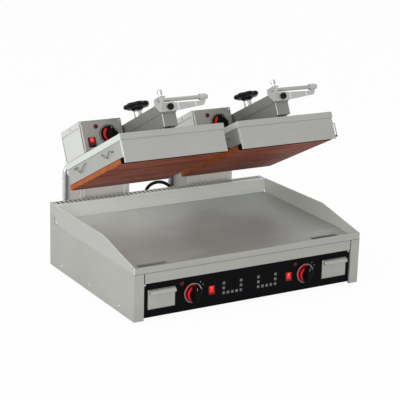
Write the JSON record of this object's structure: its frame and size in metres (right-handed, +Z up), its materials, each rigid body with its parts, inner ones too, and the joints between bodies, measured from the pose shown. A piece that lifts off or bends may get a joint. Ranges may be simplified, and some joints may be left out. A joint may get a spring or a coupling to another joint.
{
  "type": "double contact griddle",
  "caption": "Countertop electric contact griddle: wide flat plate with splash guard, and two heated heads on hinged arms, each with its own controls.",
  "frame": {"origin": "middle of the footprint, on the surface that the feet stand on", "axes": "+X to the right as the operator sees it, +Y to the rear, +Z up"},
  "size_m": [0.8, 0.812, 0.6462],
  "materials": {
    "bezel_black": "gloss moulded",
    "bright_steel": "polished",
    "cast_aluminium": "machined face",
    "element_steel": "oxidised tube",
    "griddle_steel": "ground cooking surface, light wear",
    "knob_black": "satin moulded",
    "lamp_red": "clear red lens",
    "panel_black": "satin black",
    "release_fabric": "coated glass cloth, fine streaks",
    "rocker_red": "lit red lens",
    "rubber_black": "matt",
    "scale_grey": "dark disc with a plain ring scale",
    "stainless": "fine horizontal brushing",
    "stainless_dark": "fine brushing, shaded"
  },
  "bodies": {
    "cabinet": {"left_side_panel": "stainless", "right_side_panel": "stainless", "bottom_pan": "stainless_dark", "rear_panel": "stainless", "front_frame": "stainless", "control_panel": "panel_black", "griddle_plate": "griddle_steel", "splash_guard": "stainless", "vent_strip": "stainless", "feet": "rubber_black", "lower_elements": "element_steel", "dial_rings": "scale_grey", "lower_thermostats": "bezel_black", "base_pilot_lamps": "lamp_red", "base_rocker_bezels": "bezel_black", "panel_screws": "bright_steel", "columns": "stainless", "hinge_brackets": "stainless_dark", "hinge_shafts": "bright_steel", "conduits": "bright_steel", "cord_gland": "knob_black", "power_cord": "rubber_black", "cord_coil": "rubber_black", "plug": "rubber_black"},
    "drawer_left": {"drawer_left": "stainless"},
    "base_dial_left": {"dial_base_left": "knob_black"},
    "base_rocker_left": {"rocker_base_left": "rocker_red"},
    "arm_left": {"arm_left": "stainless_dark", "handle_left": "stainless"},
    "plunger_left": {"latch_plunger_left": "knob_black"},
    "adjuster_left": {"star_knob_left": "knob_black"},
    "head_left": {"head_lid_left": "stainless", "head_housing_left": "stainless", "platen_left": "cast_aluminium", "release_sheet_left": "release_fabric", "beam_left": "stainless_dark", "control_box_left": "stainless", "head_pilot_lamp_left": "lamp_red", "head_fittings_left": "bezel_black", "wire_clips_left": "bright_steel"},
    "head_dial_left": {"dial_head_left": "knob_black"},
    "head_rocker_left": {"rocker_head_left": "rocker_red"},
    "drawer_right": {"drawer_right": "stainless"},
    "base_dial_right": {"dial_base_right": "knob_black"},
    "base_rocker_right": {"rocker_base_right": "rocker_red"},
    "arm_right": {"arm_right": "stainless_dark", "handle_right": "stainless"},
    "plunger_right": {"latch_plunger_right": "knob_black"},
    "adjuster_right": {"star_knob_right": "knob_black"},
    "head_right": {"head_lid_right": "stainless", "head_housing_right": "stainless", "platen_right": "cast_aluminium", "release_sheet_right": "release_fabric", "beam_right": "stainless_dark", "control_box_right": "stainless", "head_pilot_lamp_right": "lamp_red", "head_fittings_right": "bezel_black", "wire_clips_right": "bright_steel"},
    "head_dial_right": {"dial_head_right": "knob_black"},
    "head_rocker_right": {"rocker_head_right": "rocker_red"}
  },
  "joints": [
    {"name": "left_arm_hinge", "type": "hinge", "parent": "cabinet", "child": "arm_left", "pos_m": [-0.2, 0.3494, 0.341], "axis": [1, 0, 0], "range_deg": [0, 27.17]},
    {"name": "left_head_slide", "type": "slide", "parent": "arm_left", "child": "head_left", "axis": [0, -0.4384, -0.8988], "range_m": [0, 0.015]},
    {"name": "left_adjuster_turn", "type": "hinge", "parent": "arm_left", "child": "adjuster_left", "pos_m": [-0.2, 0.02976, 0.55476], "axis": [0, 0.4384, 0.8988], "range_deg": [0, 1080]},
    {"name": "left_plunger_pull", "type": "slide", "parent": "arm_left", "child": "plunger_left", "axis": [0, 0.4384, 0.8988], "range_m": [0, 0.008], "stiffness_N_per_m": 300, "springref_m": -0.004},
    {"name": "left_drawer_slide", "type": "slide", "parent": "cabinet", "child": "drawer_left", "axis": [0, -1, 0], "range_m": [0, 0.15]},
    {"name": "left_base_dial_turn", "type": "hinge", "parent": "cabinet", "child": "base_dial_left", "pos_m": [-0.2005, -0.3506, 0.07], "axis": [0, 1, 0], "range_deg": [0, 270]},
    {"name": "left_base_rocker_tip", "type": "hinge", "parent": "cabinet", "child": "base_rocker_left", "pos_m": [-0.138, -0.3366, 0.068], "axis": [1, 0, 0], "range_deg": [0, 16]},
    {"name": "left_head_dial_turn", "type": "hinge", "parent": "head_left", "child": "head_dial_left", "pos_m": [-0.28, 0.05111, 0.47536], "axis": [0, 0.8988, -0.4384], "range_deg": [0, 270]},
    {"name": "left_head_rocker_tip", "type": "hinge", "parent": "head_left", "child": "head_rocker_left", "pos_m": [-0.3415, 0.05515, 0.4517], "axis": [1, 0, 0], "range_deg": [0, 16]},
    {"name": "right_arm_hinge", "type": "hinge", "parent": "cabinet", "child": "arm_right", "pos_m": [0.2, 0.3494, 0.341], "axis": [1, 0, 0], "range_deg": [0, 27.17]},
    {"name": "right_head_slide", "type": "slide", "parent": "arm_right", "child": "head_right", "axis": [0, -0.4384, -0.8988], "range_m": [0, 0.015]},
    {"name": "right_adjuster_turn", "type": "hinge", "parent": "arm_right", "child": "adjuster_right", "pos_m": [0.2, 0.02976, 0.55476], "axis": [0, 0.4384, 0.8988], "range_deg": [0, 1080]},
    {"name": "right_plunger_pull", "type": "slide", "parent": "arm_right", "child": "plunger_right", "axis": [0, 0.4384, 0.8988], "range_m": [0, 0.008], "stiffness_N_per_m": 300, "springref_m": -0.004},
    {"name": "right_drawer_slide", "type": "slide", "parent": "cabinet", "child": "drawer_right", "axis": [0, -1, 0], "range_m": [0, 0.15]},
    {"name": "right_base_dial_turn", "type": "hinge", "parent": "cabinet", "child": "base_dial_right", "pos_m": [0.2005, -0.3506, 0.07], "axis": [0, 1, 0], "range_deg": [0, 270]},
    {"name": "right_base_rocker_tip", "type": "hinge", "parent": "cabinet", "child": "base_rocker_right", "pos_m": [0.138, -0.3366, 0.068], "axis": [1, 0, 0], "range_deg": [0, 16]},
    {"name": "right_head_dial_turn", "type": "hinge", "parent": "head_right", "child": "head_dial_right", "pos_m": [0.12, 0.05111, 0.47536], "axis": [0, 0.8988, -0.4384], "range_deg": [0, 270]},
    {"name": "right_head_rocker_tip", "type": "hinge", "parent": "head_right", "child": "head_rocker_right", "pos_m": [0.0585, 0.05515, 0.4517], "axis": [1, 0, 0], "range_deg": [0, 16]}
  ],
  "couplings": [
    {"joint": "left_adjuster_turn", "follows": "left_head_slide", "rad_per_m": 1256.6},
    {"joint": "right_adjuster_turn", "follows": "right_head_slide", "rad_per_m": 1256.6}
  ]
}
